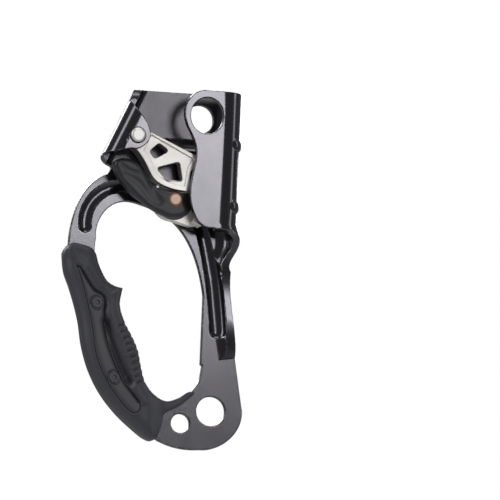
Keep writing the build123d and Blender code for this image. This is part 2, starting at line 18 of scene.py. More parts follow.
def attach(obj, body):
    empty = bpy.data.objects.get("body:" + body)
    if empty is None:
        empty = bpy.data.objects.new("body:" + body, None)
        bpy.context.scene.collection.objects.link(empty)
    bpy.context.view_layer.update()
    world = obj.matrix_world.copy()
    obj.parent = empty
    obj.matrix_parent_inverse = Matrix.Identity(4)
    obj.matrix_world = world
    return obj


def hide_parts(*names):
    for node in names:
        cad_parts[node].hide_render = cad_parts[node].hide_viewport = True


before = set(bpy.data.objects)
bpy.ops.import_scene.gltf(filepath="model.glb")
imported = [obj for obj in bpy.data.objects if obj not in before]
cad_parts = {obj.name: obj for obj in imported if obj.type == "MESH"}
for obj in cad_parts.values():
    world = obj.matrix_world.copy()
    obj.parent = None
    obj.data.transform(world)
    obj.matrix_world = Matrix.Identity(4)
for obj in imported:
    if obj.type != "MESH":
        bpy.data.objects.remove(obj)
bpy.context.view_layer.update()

MM = 0.001
SAME_PLACE = 0.002 * MM  # corners nearer than this are one corner
ON_CUT = 0.0001 * MM  # corners nearer than this to a cut are on it
FLAT_TURN = radians(0.4)  # faces that turn by less than this are one flat face
CUT_TURN = radians(36)  # edges that turn by more than this are cut edges, and are broken
SHARP_TURN = radians(42)  # edges that turn by more than this stay sharp to the eye
EDGE_STEPS = 3  # facets across the round of a cut edge
LEAST_STEP = 1e-6  # keeps a spline's knots apart in time
LEAST_RUN = 1e-12  # keeps a line's square length above nothing
CAM_PIVOT = (-49.5, 141.3)
TRIGGER_PIVOT = (-26.9, 109.2)
Point = tuple[float, float]
Span = tuple[float, float]  # from low to high
Roll = tuple[float, float]  # a rounded edge: how far in it reaches, and how deep it falls
Colour = tuple[float, float, float]
Depth = Callable[[np.ndarray, np.ndarray], np.ndarray]

log = logging.getLogger("ascender")


# ---------------------------------------------------------------- materials
class Wire:
    """A value on its way through a node tree; arithmetic on it adds Math nodes."""

    def __init__(self, graph: "Graph", socket: Any) -> None:
        """Keeps the graph that the socket belongs to."""
        self.graph = graph
        self.socket = socket

    def _math(self, operation: str, first: Any, second: Any) -> "Wire":
        """Adds one Math node."""
        return self.graph.node("ShaderNodeMath", {"operation": operation}, {0: first, 1: second})

    def __add__(self, other: Any) -> "Wire":
        """Sum."""
        return self._math("ADD", self, other)

    def __radd__(self, other: Any) -> "Wire":
        """Sum with the wire on the right."""
        return self._math("ADD", other, self)

    def __sub__(self, other: Any) -> "Wire":
        """Difference."""
        return self._math("SUBTRACT", self, other)

    def __rsub__(self, other: Any) -> "Wire":
        """Difference with the wire on the right."""
        return self._math("SUBTRACT", other, self)

    def __mul__(self, other: Any) -> "Wire":
        """Product."""
        return self._math("MULTIPLY", self, other)

    def __rmul__(self, other: Any) -> "Wire":
        """Product with the wire on the right."""
        return self._math("MULTIPLY", other, self)

    def band(self, low: float, high: float) -> "Wire":
        """Rises smoothly from 0 at low to 1 at high.

        Args:
            low: value where the rise starts.
            high: value where it ends.

        Returns:
            The eased wire.
        """
        return self.graph.node(
            "ShaderNodeMapRange", {"interpolation_type": "SMOOTHSTEP"},
            {"Value": self, "From Min": low, "From Max": high},
        )


class Graph:
    """The node tree of one material."""

    def __init__(self, name: str) -> None:
        """Starts an empty tree with its output and the piece's own coordinates."""
        self.material = bpy.data.materials.new(name)
        self.material.use_nodes = True
        self.tree = self.material.node_tree
        self.tree.nodes.clear()
        self.place = self.node("ShaderNodeTexCoord", {}, {}, "Object")

    def node(self, kind: str, settings: dict[str, Any], inputs: dict[Any, Any], output: Any = 0) -> Wire:
        """Adds a node.

        Args:
            kind: the node's type.
            settings: attributes of the node, set before its inputs.
            inputs: socket names or numbers, each with a value or a Wire.
            output: name or number of the socket to hand back.

        Returns:
            The chosen output as a Wire.
        """
        node = self.tree.nodes.new(kind)
        for key, value in settings.items():
            setattr(node, key, value)
        for key, value in inputs.items():
            if isinstance(value, Wire):
                self.tree.links.new(value.socket, node.inputs[key])
            else:
                node.inputs[key].default_value = value
        return Wire(self, node.outputs[output])

    def noise(self, size: float, detail: float = 2.0, stretch: Colour = (1.0, 1.0, 1.0)) -> Wire:
        """Cloudy noise about size metres across, drawn out along the axes by stretch."""
        scale = tuple(1.0 / s for s in stretch)
        place = self.node("ShaderNodeMapping", {}, {"Vector": self.place, "Scale": scale})
        return self.node("ShaderNodeTexNoise", {}, {"Vector": place, "Scale": 1.0 / size, "Detail": detail})

    def pebbles(self, size: float) -> Wire:
        """Distance to the nearest of scattered points about size metres apart."""
        return self.node("ShaderNodeTexVoronoi", {}, {"Vector": self.place, "Scale": 1.0 / size})

    def along(self, axis: str) -> Wire:
        """The place along one axis, in metres."""
        return self.node("ShaderNodeSeparateXYZ", {}, {"Vector": self.place}, axis)

    def attribute(self, name: str) -> Wire:
        """A number stored on the mesh."""
        return self.node("ShaderNodeAttribute", {"attribute_name": name}, {}, "Fac")

    def blend(self, factor: Wire, first: Colour, second: Colour) -> Wire:
        """A colour between two others."""
        return self.node(
            "ShaderNodeMix", {"data_type": "RGBA"},
            {"Factor": factor, 6: (*first, 1.0), 7: (*second, 1.0)}, 2,
        )

    def bump(self, height: Wire, depth: float) -> Wire:
        """A normal from heights, where a height of 1 stands depth metres proud."""
        return self.node("ShaderNodeBump", {}, {"Height": height, "Distance": depth, "Strength": 1.0})

    def surface(self, values: dict[str, Any]) -> bpy.types.Material:
        """Adds the shader and the output.

        Args:
            values: names of shader sockets, each with a value or a Wire.

        Returns:
            The finished material.
        """
        shader = self.node("ShaderNodeBsdfPrincipled", {}, values)
        end = self.tree.nodes.new("ShaderNodeOutputMaterial")
        self.tree.links.new(shader.socket, end.inputs["Surface"])
        return self.material


@dataclass(frozen=True)
class Finish:
    """What every finish has: its look in figures and the record's material slot."""

    name: str
    slot: str
    colour: Colour
    worn: Colour
    metallic: float
    roughness: float
    rough_spread: float = 0.1
    grain: float = 0.3 * MM
    grain_depth: float = 0.01 * MM
    edge_wear: float = 0.5
    speck_wear: float = 0.12

    def height(self, graph: Graph) -> Wire:
        """The fine relief of the surface, from 0 to 1."""
        return graph.noise(self.grain, 2.0)

    def dulling(self, graph: Graph) -> Wire | float:
        """Extra roughness in a part of the surface."""
        return 0.0

    def wear(self, graph: Graph) -> Wire:
        """Where the worn colour shows, from 0 to 1: broken along the edges, and in rare specks."""
        scuffs = graph.noise(1.6 * MM, 4.0).band(0.42, 0.66)
        specks = graph.noise(0.7 * MM, 3.0).band(0.76, 0.86)
        return graph.attribute("edge") * scuffs * self.edge_wear + specks * self.speck_wear

    def material(self) -> bpy.types.Material:
        """Builds the material."""
        graph = Graph(self.name)
        cloud = graph.noise(11 * MM, 3.0)
        rough = (cloud - 0.5) * self.rough_spread + self.roughness + (graph.noise(0.8 * MM) - 0.5) * 0.06
        return graph.surface({
            "Base Color": graph.blend(self.wear(graph), self.colour, self.worn),
            "Roughness": rough + self.dulling(graph),
            "Metallic": self.metallic,
            "Normal": graph.bump(self.height(graph), self.grain_depth),
        })


@dataclass(frozen=True)
class DrawnFinish(Finish):
    """A finish with fine lines left by rolling or drawing, along stretch."""

    stretch: Colour = (1.0, 1.0, 14.0)
    rubbed: float = 0.0
    rubbed_y: Span = (-16 * MM, -6 * MM)
    rubbed_z: Span = (112 * MM, 128 * MM)

    def dulling(self, graph: Graph) -> Wire | float:
        """Extra roughness where the rope has rubbed the back of its channel."""
        deep = graph.along("Y").band(*self.rubbed_y)
        high = graph.along("Z").band(*self.rubbed_z)
        return deep * high * self.rubbed

    def height(self, graph: Graph) -> Wire:
        """Grain with long shallow lines over it."""
        return graph.noise(self.grain, 2.0) * 0.5 + graph.noise(self.grain * 1.5, 2.0, self.stretch) * 0.5


@dataclass(frozen=True)
class PebbledFinish(Finish):
    """A moulded finish with a leathery pebble grain."""

    def height(self, graph: Graph) -> Wire:
        """Rounded pebbles with fine noise over them."""
        return graph.pebbles(self.grain).band(0.05, 0.75) * 0.7 + graph.noise(self.grain * 0.5) * 0.3


@dataclass(frozen=True)
class TurnedFinish(Finish):
    """A turned face with rings about an axis along Y."""

    centre: Point = (0.0, 0.0)

    def height(self, graph: Graph) -> Wire:
        """Concentric tool marks, broken by noise."""
        offset = (-self.centre[0] * MM, 0.0, -self.centre[1] * MM)
        flat = {"Vector": graph.place, "Location": offset, "Scale": (1, 0, 1)}
        place = graph.node("ShaderNodeMapping", {}, flat)
        reach = graph.node("ShaderNodeVectorMath", {"operation": "LENGTH"}, {0: place}, "Value")
        rings = graph.node("ShaderNodeMath", {"operation": "SINE"}, {0: reach * (2 * pi / self.grain)})
        return rings * 0.3 + graph.noise(0.4 * MM, 3.0)


class Finishes(Enum):
    """The finishes that the pieces are dressed in."""

    ANODISED = DrawnFinish(
        name="anodised_sheet", slot="anodised", colour=(0.060, 0.058, 0.064), worn=(0.30, 0.29, 0.30),
        metallic=0.9, roughness=0.17, rough_spread=0.06, grain=0.22 * MM, grain_depth=0.004 * MM, rubbed=0.14)
    CAST = Finish(
        name="cast_steel", slot="cast_steel", colour=(0.68, 0.66, 0.63), worn=(0.80, 0.78, 0.75),
        metallic=1.0, roughness=0.48, rough_spread=0.14, grain=0.35 * MM, grain_depth=0.016 * MM)
    NYLON = PebbledFinish(
        name="moulded_nylon", slot="black_plastic", colour=(0.013, 0.013, 0.016), worn=(0.05, 0.05, 0.055),
        metallic=0.0, roughness=0.46, rough_spread=0.10, grain=0.35 * MM, grain_depth=0.010 * MM)
    RUBBER = PebbledFinish(
        name="moulded_rubber", slot="grip_rubber", colour=(0.033, 0.033, 0.040), worn=(0.07, 0.07, 0.078),
        metallic=0.0, roughness=0.52, rough_spread=0.10, grain=0.45 * MM, grain_depth=0.016 * MM)
    INLAY = PebbledFinish(
        name="inlay_plastic", slot="grip_panel", colour=(0.034, 0.034, 0.039), worn=(0.07, 0.07, 0.075),
        metallic=0.0, roughness=0.46, rough_spread=0.08, grain=0.30 * MM, grain_depth=0.010 * MM)
    AXLE = TurnedFinish(
        name="axle_steel", slot="rivet_steel", colour=(0.60, 0.59, 0.57), worn=(0.74, 0.73, 0.71),
        metallic=1.0, roughness=0.46, rough_spread=0.10, grain=0.5 * MM, grain_depth=0.006 * MM,
        centre=CAM_PIVOT)
    BRASS = TurnedFinish(
        name="rivet_brass", slot="brass", colour=(0.40, 0.31, 0.25), worn=(0.62, 0.48, 0.38),
        metallic=1.0, roughness=0.46, rough_spread=0.12, grain=0.4 * MM, grain_depth=0.010 * MM,
        centre=TRIGGER_PIVOT)
    BRASS_RING = TurnedFinish(
        name="ring_brass", slot="brass", colour=(0.16, 0.07, 0.035), worn=(0.30, 0.16, 0.09),
        metallic=0.9, roughness=0.45, rough_spread=0.12, grain=0.4 * MM, grain_depth=0.008 * MM,
        centre=TRIGGER_PIVOT)
    BRONZE = Finish(
        name="bush_bronze", slot="bronze", colour=(0.50, 0.33, 0.17), worn=(0.66, 0.48, 0.28),
        metallic=1.0, roughness=0.36)
    ZINC = Finish(
        name="zinc_plate", slot="zinc_steel", colour=(0.58, 0.58, 0.57), worn=(0.72, 0.72, 0.70),
        metallic=1.0, roughness=0.34)
    WIRE = DrawnFinish(
        name="spring_wire", slot="spring_steel", colour=(0.42, 0.42, 0.43), worn=(0.60, 0.60, 0.60),
        metallic=1.0, roughness=0.30)
    BLACK_STEEL = TurnedFinish(
        name="black_steel", slot="black_steel", colour=(0.045, 0.045, 0.05), worn=(0.20, 0.20, 0.20),
        metallic=0.9, roughness=0.40)


class Wardrobe:
    """Makes each material once."""

    def __init__(self) -> None:
        """Starts empty."""
        self._made: dict[Finishes, bpy.types.Material] = {}

    def dress(self, piece: bpy.types.Object, finish: Finishes) -> None:
        """Gives a piece one finish all over."""
        if finish not in self._made:
            self._made[finish] = finish.value.material()
        slots = piece.data.materials
        slots.clear()
        slots.append(self._made[finish])


# ---------------------------------------------------------------- mesh helpers
def smooth_line(points: Sequence[Point], step: float = 1.0) -> list[Point]:
    """A rounded line through points, by a centripetal spline.

    Args:
        points: the points, in millimetres.
        step: spacing of the line's own points, in millimetres.

    Returns:
        Points from the first to the last, without the last.
    """
    knots = [Vector(p) for p in points]
    knots = [2 * knots[0] - knots[1], *knots, 2 * knots[-1] - knots[-2]]
    line: list[Point] = []
    for before, start, end, after in zip(knots, knots[1:], knots[2:], knots[3:]):
        times = [0.0]
        for a, b in ((before, start), (start, end), (end, after)):
            times.append(times[-1] + max(sqrt((b - a).length), LEAST_STEP))
        count = max(1, round((end - start).length / step))
        for i in range(count):
            t = times[1] + (times[2] - times[1]) * i / count
            line.append(_spline_point((before, start, end, after), times, t))
    return line


def _spline_point(knots: Sequence[Vector], times: Sequence[float], t: float) -> Point:
    """One point of a centripetal spline at time t, by repeated mixing of its four knots."""
    def mix(first: Vector, second: Vector, low: float, high: float) -> Vector:
        """The place at time t on the line from one knot, at time low, to the next, at time high."""
        return first.lerp(second, (t - low) / (high - low))

    t0, t1, t2, t3 = times
    first = mix(knots[0], knots[1], t0, t1)
    second = mix(knots[1], knots[2], t1, t2)
    third = mix(knots[2], knots[3], t2, t3)
    place = mix(mix(first, second, t0, t2), mix(second, third, t1, t3), t1, t2)
    return (place.x, place.y)


def outline(*stretches: Sequence[Point]) -> list[Point]:
    """A closed outline of smooth stretches with corners where they meet; straight runs have two points."""
    line: list[Point] = []
    for stretch in stretches:
        line.extend(smooth_line(stretch))
    return line


def circle(centre: Point, radius: float, count: int = 40) -> list[Point]:
    """A closed round outline."""
    return [
        (centre[0] + radius * cos(2 * pi * i / count), centre[1] + radius * sin(2 * pi * i / count))
        for i in range(count)
    ]


def distance(places: np.ndarray, line: Sequence[Point], closed: bool = True) -> np.ndarray:
    """Distance of each place from a line, in millimetres.

    Args:
        places: N rows of (x, z).
        line: the line's points.
        closed: whether its ends join.

    Returns:
        N distances.
    """
    ends = np.array(line)
    starts, stops = (ends, np.roll(ends, -1, axis=0)) if closed else (ends[:-1], ends[1:])
    run = stops - starts
    length = np.maximum((run ** 2).sum(axis=1), LEAST_RUN)
    nearest = np.full(len(places), np.inf)
    for start, step, size in zip(starts, run, length):
        offset = places - start
        share = np.clip(offset @ step / size, 0.0, 1.0)
        gap = offset - share[:, None] * step
        nearest = np.minimum(nearest, (gap ** 2).sum(axis=1))
    return np.sqrt(nearest)


def ease(value: np.ndarray, low: float, high: float) -> np.ndarray:
    """Rises smoothly from 0 at low to 1 at high."""
    share = np.clip((value - low) / (high - low), 0.0, 1.0)
    return share * share * (3 - 2 * share)


def drop(gap: np.ndarray, reach: np.ndarray | float, depth: np.ndarray | float) -> np.ndarray:
    """How far a rounded edge has fallen at a distance from it: a quarter of an ellipse."""
    share = np.clip(1 - gap / reach, 0.0, 1.0)
    return depth * (1 - np.sqrt(np.maximum(1 - share ** 2, 0.0)))


def bell(gap: np.ndarray, width: float) -> np.ndarray:
    """A soft ridge of height 1 that fades over width."""
    return np.exp(-((gap / width) ** 2))


def keep_mesh(mesh: bmesh.types.BMesh, name: str) -> bpy.types.Object:
    """Turns a bmesh into a smooth-shaded object with its corners kept.

    Args:
        mesh: the bmesh, which is freed.
        name: the object's name.

    Returns:
        The object, at the origin.
    """
    data = bpy.data.meshes.new(name)
    mesh.to_mesh(data)
    mesh.free()
    data.shade_smooth()
    data.set_sharp_from_angle(angle=SHARP_TURN)
    piece = bpy.data.objects.new(name, data)
    bpy.context.scene.collection.objects.link(piece)
    weigh = piece.modifiers.new("flat_faces", "WEIGHTED_NORMAL")
    weigh.keep_sharp = True
    return piece


def eased_copy(node: str, name: str, width: float) -> bpy.types.Object:
    """A CAD node's shape with its cut edges broken by a small round.

    Args:
        node: the CAD node.
        name: the new piece's name.
        width: how far the round reaches from each edge, in metres.

    Returns:
        The new piece, whose "edge" attribute is 1 on the rounds.
    """
    mesh = bmesh.new()
    mesh.from_mesh(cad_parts[node].data)
    bmesh.ops.remove_doubles(mesh, verts=mesh.verts[:], dist=SAME_PLACE)
    bmesh.ops.dissolve_degenerate(mesh, edges=mesh.edges[:], dist=SAME_PLACE)
    bmesh.ops.dissolve_limit(mesh, angle_limit=FLAT_TURN, verts=mesh.verts[:], edges=mesh.edges[:])
    corners = [e for e in mesh.edges if e.is_manifold and e.calc_face_angle() > CUT_TURN]
    rounds = bmesh.ops.bevel(
        mesh, geom=corners, offset=width, offset_type="OFFSET", segments=EDGE_STEPS, profile=0.5,
        affect="EDGES", clamp_overlap=False, loop_slide=True, material=-1,
    )
    layer = mesh.loops.layers.float.new("edge")
    for face in rounds["faces"]:
        if face.is_valid:
            for loop in face.loops:
                loop[layer] = 1.0
    return keep_mesh(mesh, name)


@dataclass
class Moulding:
    """A piece that lies in the XZ plane: an outline with holes, between a front and a rear skin."""

    edge: list[Point]
    holes: list[list[Point]] = field(default_factory=list)
    pitch: float = 0.8
    rings: tuple[float, ...] = (0.1, 0.2, 0.35)

    def sheet(self) -> bmesh.types.BMesh:
        """The flat piece, cut into a fine net that follows its borders."""
        mesh = bmesh.new()
        for line in (self.edge, *self.holes):
            corners = [mesh.verts.new((x * MM, 0.0, z * MM)) for x, z in line]
            for first, second in zip(corners, corners[1:] + corners[:1]):
                mesh.edges.new((first, second))
        bmesh.ops.triangle_fill(
            mesh, use_beauty=True, use_dissolve=True, edges=mesh.edges[:], normal=(0, -1, 0))
        inner = mesh.faces[:]
        for width in self.rings:
            bmesh.ops.inset_region(
                mesh, faces=inner, use_boundary=True, use_even_offset=True, thickness=width * MM)
        for axis in (0, 2):
            ends = [v.co[axis] for v in mesh.verts]
            low, high = min(ends), max(ends)
            normal = Vector((axis == 0, 0, axis == 2))
            for i in range(1, int((high - low) / (self.pitch * MM)) + 1):
                place = normal * (low + i * self.pitch * MM)
                every = mesh.verts[:] + mesh.edges[:] + mesh.faces[:]
                bmesh.ops.bisect_plane(mesh, geom=every, dist=ON_CUT, plane_co=place, plane_no=normal)
        return mesh

    def body(self, front: Depth, rear: Depth) -> bmesh.types.BMesh:
        """The closed piece.

        Args:
            front: depth of the front skin, from places (x, z) and their distance to the border.
            rear: the same for the rear skin.

        Returns:
            The closed mesh, its faces outwards.
        """
        mesh = self.sheet()
        lifted = bmesh.ops.extrude_face_region(mesh, geom=mesh.faces[:])["geom"]
        near = {v for v in lifted if isinstance(v, bmesh.types.BMVert)}
        for group, depth in ((near, front), (set(mesh.verts) - near, rear)):
            corners = list(group)
            places = np.array([(v.co.x, v.co.z) for v in corners]) / MM
            gap = distance(places, self.edge)
            for vertex, y in zip(corners, depth(places, gap)):
                vertex.co.y = y * MM
        bmesh.ops.recalc_face_normals(mesh, faces=mesh.faces[:])
        return mesh


@dataclass(frozen=True)
class Crease:
    """A soft line pressed into a skin; it stands proud where its depth is negative."""

    depth: float
    width: float
    line: tuple[Point, ...]

    def fall(self, places: np.ndarray) -> np.ndarray:
        """How far the skin has sunk at each place, in millimetres."""
        return self.depth * bell(distance(places, smooth_line(self.line), False), self.width)


# ---------------------------------------------------------------- sub-assemblies
@dataclass
class Assembly:
    """A group of pieces that are built and dressed together."""

    wardrobe: Wardrobe

    def place(self, piece: bpy.types.Object, node: str, body: str, finish: Finishes) -> None:
        """Lets a piece stand for a CAD node.

        Args:
            piece: the new piece.
            node: the CAD node that it replaces.
            body: the body that it moves with.
            finish: its finish.
        """
        self.wardrobe.dress(piece, finish)
        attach(piece, body)
        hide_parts(node)
        log.info("%s: %d faces", piece.name, len(piece.data.polygons))

    def carry(self, node: str, finish: Finishes) -> None:
        """Keeps a CAD node's own shape and dresses it."""
        self.wardrobe.dress(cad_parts[node], finish)
        log.info("%s: CAD shape kept", node)


@dataclass
class Plate(Assembly):
    """The folded sheet: back plate, rope channel, ring flap, cheek, arm and strut in one piece."""

    edge_round: float = 0.55 * MM

    def build(self) -> None:
        """Builds the sheet."""
        self.place(eased_copy("frame", "frame_sheet", self.edge_round), "frame", "root", Finishes.ANODISED)


@dataclass
class CamGroup(Assembly):
    """The toothed cam with its axle, bush, washers and spring."""

    edge_round: float = 0.3 * MM

    def build(self) -> None:
        """Builds the cam and dresses what it turns on."""
        cam = eased_copy("cam", "cam_casting", self.edge_round)
        self.place(cam, "cam", "cam", Finishes.CAST)
        self.carry("cam_axle", Finishes.AXLE)
        self.carry("cam_bush", Finishes.BRONZE)
        self.carry("cam_front_washer", Finishes.ZINC)
        self.carry("cam_rear_washer", Finishes.ZINC)
        self.carry("cam_spring", Finishes.WIRE)


@dataclass
class TriggerGroup(Assembly):
    """The locking trigger with its rivet, washer, shim and spring."""

    front_y: float = -17.5
    hub_y: float = -12.3
    lever_y: float = -9.1
    low: tuple[Point, ...] = ((-60.5, 125.4), (-58.3, 120.3), (-50.4, 111.3), (-42.0, 104.8), (-36.2, 101.6))
    hub: tuple[Point, ...] = ((-36.2, 101.6), (-29.5, 99.3), (-23.4, 100.0), (-19.4, 102.5))
    high: tuple[Point, ...] = ((-22.4, 109.8), (-24.6, 113.0), (-28.4, 113.2), (-34.2, 113.9), (-40.0, 117.4),
                               (-43.9, 122.6), (-47.4, 126.9), (-52.2, 129.2))
    tip: tuple[Point, ...] = ((-52.2, 129.2), (-56.6, 129.2), (-59.8, 127.6), (-60.5, 125.4))
    pad_line: Crease = Crease(0.4, 0.7, ((-57.0, 126.3), (-54.3, 124.2), (-50.6, 122.4), (-46.4, 121.9)))
    low_hollow: Crease = Crease(
        0.35, 1.6, ((-53.6, 120.5), (-47.8, 117.3), (-44.0, 113.4), (-39.6, 108.1), (-35.9, 105.8)))
    high_hollow: Crease = Crease(
        0.5, 1.9, ((-43.4, 123.1), (-40.6, 119.2), (-39.4, 114.2), (-37.1, 109.8), (-34.4, 106.9)))
    front_roll: Roll = (2.4, 2.0)
    rear_roll: Roll = (1.0, 0.8)
    deepest: float = 2.6
    lever_reach: Span = (44.0, 50.0)  # to the left of the main hole
    net: float = 0.7
    rivet_bore: float = 3.5

    def front(self, places: np.ndarray, gap: np.ndarray) -> np.ndarray:
        """Depth of the front skin: rounded edges, a thumb pad above its line, and two soft hollows."""
        y = self.front_y + drop(gap, *self.front_roll)
        for crease in (self.pad_line, self.low_hollow, self.high_hollow):
            y += crease.fall(places)
        return np.minimum(y, self.front_y + self.deepest)

    def rear(self, places: np.ndarray, gap: np.ndarray) -> np.ndarray:
        """Depth of the rear skin: thin over the cam's lug, thick under the thumb."""
        lever = ease(-places[:, 0], *self.lever_reach)
        return self.hub_y + (self.lever_y - self.hub_y) * lever - drop(gap, *self.rear_roll)

    def build(self) -> None:
        """Builds the trigger and dresses its rivet."""
        edge = outline(self.low, self.hub, (self.hub[-1], self.high[0]), self.high, self.tip)
        shape = Moulding(edge, [circle(TRIGGER_PIVOT, self.rivet_bore)], self.net)
        trigger = keep_mesh(shape.body(self.front, self.rear), "trigger_moulding")
        self.place(trigger, "trigger", "trigger", Finishes.NYLON)
        self.carry("trigger_rivet", Finishes.BRASS)
        self.carry("trigger_washer", Finishes.BRASS_RING)
        self.carry("trigger_shim", Finishes.NYLON)
        self.carry("trigger_spring", Finishes.WIRE)


@dataclass
class Grip(Assembly):
    """The rubber grip: two shells round the plate's core, each with a hard inlay and two fasteners."""

    half: float = 10.0
    crown: float = 0.4
    edge_half: float = 2.4
    reach: float = 7.5
    top_reach: float = 2.0
    top_fade: Span = (-83.0, -74.0)  # read downwards
    foot_thin: float = 5.6
    foot_x: Span = (-36.0, -24.0)
    foot_fade: Span = (-20.0, -6.0)  # read downwards
    dish: float = 0.75
    dish_reach: float = 6.0
    outer: tuple[Point, ...] = (
        (-79.6, 83.6), (-82.3, 79.0), (-81.6, 69.3), (-78.4, 61.2), (-75.0, 51.4), (-72.6, 42.8),
        (-70.4, 30.9), (-66.3, 18.4), (-59.8, 6.6), (-51.1, -3.7), (-42.0, -11.5), (-34.8, -16.5),
        (-31.2, -17.5), (-28.4, -15.6))
    end: tuple[Point, ...] = ((-28.4, -15.6), (-26.0, -8.0), (-25.0, -3.0), (-18.0, 1.0), (-9.2, 8.6))
    inner_low: tuple[Point, ...] = (
        (-9.2, 8.6), (-9.6, 9.8), (-12.0, 9.6), (-17.5, 6.0), (-24.5, 3.9), (-31.4, 7.4), (-36.0, 13.0),
        (-38.6, 21.0), (-40.8, 30.0), (-44.2, 37.0), (-48.6, 44.6), (-51.4, 53.0), (-50.3, 62.2))
    inner_top: tuple[Point, ...] = (
        (-50.3, 62.2), (-54.0, 62.9), (-58.7, 65.4), (-62.6, 71.6), (-65.8, 78.8), (-68.4, 81.6))
    top: tuple[Point, ...] = ((-68.4, 81.6), (-69.4, 82.2), (-78.6, 84.0), (-79.6, 83.6))
    inlay_right: tuple[Point, ...] = (
        (-75.9, 71.7), (-74.7, 71.5), (-71.2, 66.5), (-66.5, 60.2), (-61.0, 56.3), (-60.3, 48.0),
        (-57.6, 32.0), (-49.5, 14.0), (-39.4, 1.6))
    inlay_left: tuple[Point, ...] = (
        (-39.4, 1.6), (-39.2, -1.6), (-41.0, -3.7), (-43.2, -3.8), (-54.0, 7.0), (-63.0, 23.0), (-67.0, 42.0),
        (-71.4, 58.2), (-75.9, 71.7))
    ridge: Crease = Crease(-1.1, 1.2, (
        (-71.8, 70.5), (-66.3, 62.0), (-62.0, 58.7), (-58.0, 54.9), (-57.7, 49.0), (-55.2, 41.4),
        (-51.0, 33.9), (-48.6, 27.5), (-45.4, 19.6), (-42.0, 9.3), (-37.0, 1.3)))
    trough: Crease = Crease(
        3.4, 2.1, ((-58.9, 43.0), (-56.4, 34.0), (-52.4, 25.0), (-48.6, 17.0), (-45.2, 11.5)))
    seam: Crease = Crease(0.9, 0.9, inlay_right)
    scoop: Crease = Crease(0.8, 1.1, ((-61.4, 60.9), (-58.6, 60.2), (-55.9, 60.1), (-53.3, 60.8)))
    cap: float = 0.03
    screws: tuple[Point, ...] = ((-64.8, 53.0), (-54.0, 14.1))
    inlay_pitch: float = 0.6
    inlay_seat: float = 5.0
    inlay_roll: Roll = (0.8, 0.7)
    inlay_cap: float = 0.1
    seat_roll: Roll = (0.7, 0.6)
    lip: float = 0.12
    lip_offset: float = 1.1
    lip_width: float = 0.6
    plug_radius: float = 3.3
    plug_groove: float = 0.55
    plug_width: float = 0.45
    rib_pitch: float = 3.5
    rib_depth: float = 1.3
    rib_low: Point = (-36.2, 12.0)
    rib_high: Point = (-49.0, 45.5)
    rib_fade: Span = (-1.0, 1.5)
    rib_side: Span = (-6.5, -4.5)

    def skin(self, places: np.ndarray, gap: np.ndarray) -> np.ndarray:
        """Distance of the outer skin from the plate's middle, in millimetres."""
        x, z = places[:, 0], places[:, 1]
        reach = self.top_reach + (self.reach - self.top_reach) * ease(-z, *self.top_fade)
        foot = ease(x, *self.foot_x) * ease(-z, *self.foot_fade)
        tall = self.half - self.crown - self.foot_thin * foot
        rise = tall - drop(gap, reach, np.minimum(reach, tall - self.edge_half))
        rise -= self.dish * ease(gap, 0.0, self.dish_reach)
        for crease in (self.ridge, self.trough, self.seam, self.scoop):
            rise -= crease.fall(places)
        return np.minimum(rise, self.half - self.cap)

    def ribs(self, places: np.ndarray) -> np.ndarray:
        """Height of the small finger ribs across the inner edge."""
        low, high = np.array(self.rib_low), np.array(self.rib_high)
        run = high - low
        length = sqrt(run @ run)
        along = (places - low) @ run / length
        side = (places - low) @ np.array((run[1], -run[0])) / length
        zone = ease(along, *self.rib_fade) * ease(length - along, *self.rib_fade)
        zone *= ease(side, *self.rib_side)
        wave = 0.5 - 0.5 * np.cos(2 * pi * along / self.rib_pitch)
        return -self.rib_depth * zone * wave ** 2

    def inlay_edge(self) -> list[Point]:
        """Outline of the inlay."""
        return outline(self.inlay_right, self.inlay_left)

    def shell_edge(self) -> list[Point]:
        """Outline of a rubber half."""
        return outline(self.outer, self.end, self.inner_low, self.inner_top, self.top)

    def shell(self, side: int) -> bmesh.types.BMesh:
        """One rubber half.

        Args:
            side: -1 in front of the plate, 1 behind it.

        Returns:
            The closed mesh.
        """
        seat = self.inlay_edge()
        shape = Moulding(self.shell_edge(), [seat])

        def skin(places: np.ndarray, gap: np.ndarray) -> np.ndarray:
            """Outer skin, rolled over at the inlay's seat with a small lip beside it."""
            to_seat = distance(places, seat)
            rise = self.skin(places, gap) + self.ribs(places)
            rise += self.lip * bell(to_seat - self.lip_offset, self.lip_width)
            return side * (rise - drop(to_seat, *self.seat_roll))

        def core(places: np.ndarray, gap: np.ndarray) -> np.ndarray:
            """Parting face at the plate's middle."""
            return 0.0 * gap

        front, rear = (skin, core) if side < 0 else (core, skin)
        return shape.body(front, rear)

    def inlay(self, side: int) -> bmesh.types.BMesh:
        """The hard inlay of one half, with a round seat and plug at each screw."""
        whole = self.shell_edge()
        shape = Moulding(self.inlay_edge(), [], self.inlay_pitch)

        def skin(places: np.ndarray, gap: np.ndarray) -> np.ndarray:
            """Outer skin: follows the grip, sunk at its border and round each screw."""
            rise = self.skin(places, distance(places, whole))
            rise -= drop(gap, *self.inlay_roll)
            for spot in self.screws:
                reach = np.hypot(places[:, 0] - spot[0], places[:, 1] - spot[1])
                rise -= self.plug_groove * bell(reach - self.plug_radius, self.plug_width)
            return side * np.minimum(rise, self.half - self.inlay_cap)

        def seat(places: np.ndarray, gap: np.ndarray) -> np.ndarray:
            """Inner face."""
            return side * (self.inlay_seat + 0.0 * gap)

        front, rear = (skin, seat) if side < 0 else (seat, skin)
        return shape.body(front, rear)

